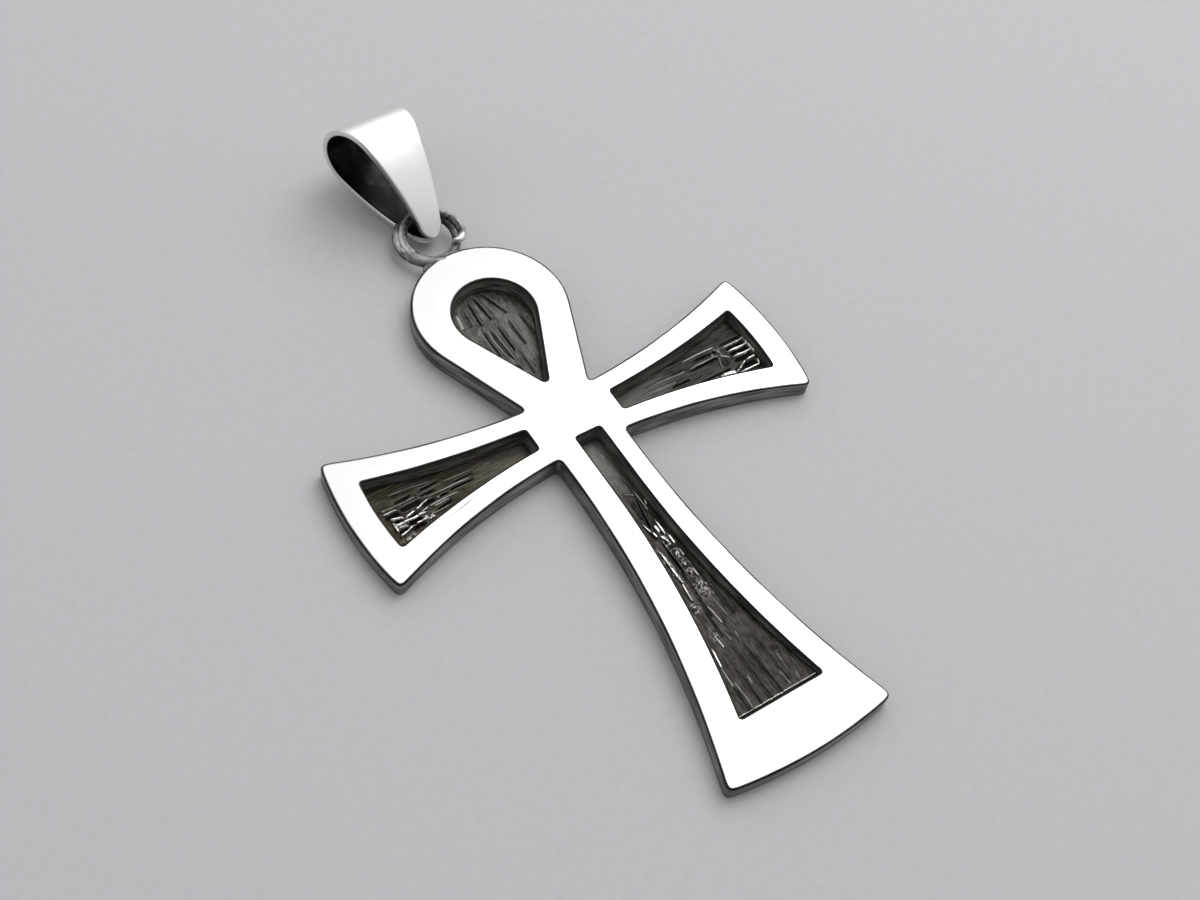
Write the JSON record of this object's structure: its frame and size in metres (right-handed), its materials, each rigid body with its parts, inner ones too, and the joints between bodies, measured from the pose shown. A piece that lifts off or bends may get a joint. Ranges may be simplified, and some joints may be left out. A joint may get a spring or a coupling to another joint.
{
  "type": "looped cross pendant",
  "caption": "Looped silver cross lying on its back, its windows backed by blackened, bark-tooled panels, with a soldered ring and a folded teardrop bail for a chain.",
  "frame": {"origin": "on the back face, under the crossing of the stem and the arms", "axes": "+X across the arms to the wearer's left, +Y up through the loop to the bail, +Z out of the polished face"},
  "size_m": [0.0342, 0.0559, 0.0065],
  "materials": {
    "polished_silver": "buffed to a mirror, greyed in the corners round the ring",
    "blackened_silver": "sulphur-blackened in the hollows, rubbed bright on the ridges",
    "satin_silver": "fine satin"
  },
  "bodies": {
    "root": {"cross_frame": "polished_silver", "loop_panel": "blackened_silver", "left_arm_panel": "blackened_silver", "right_arm_panel": "blackened_silver", "stem_panel": "blackened_silver", "bail": "satin_silver"}
  },
  "joints": []
}
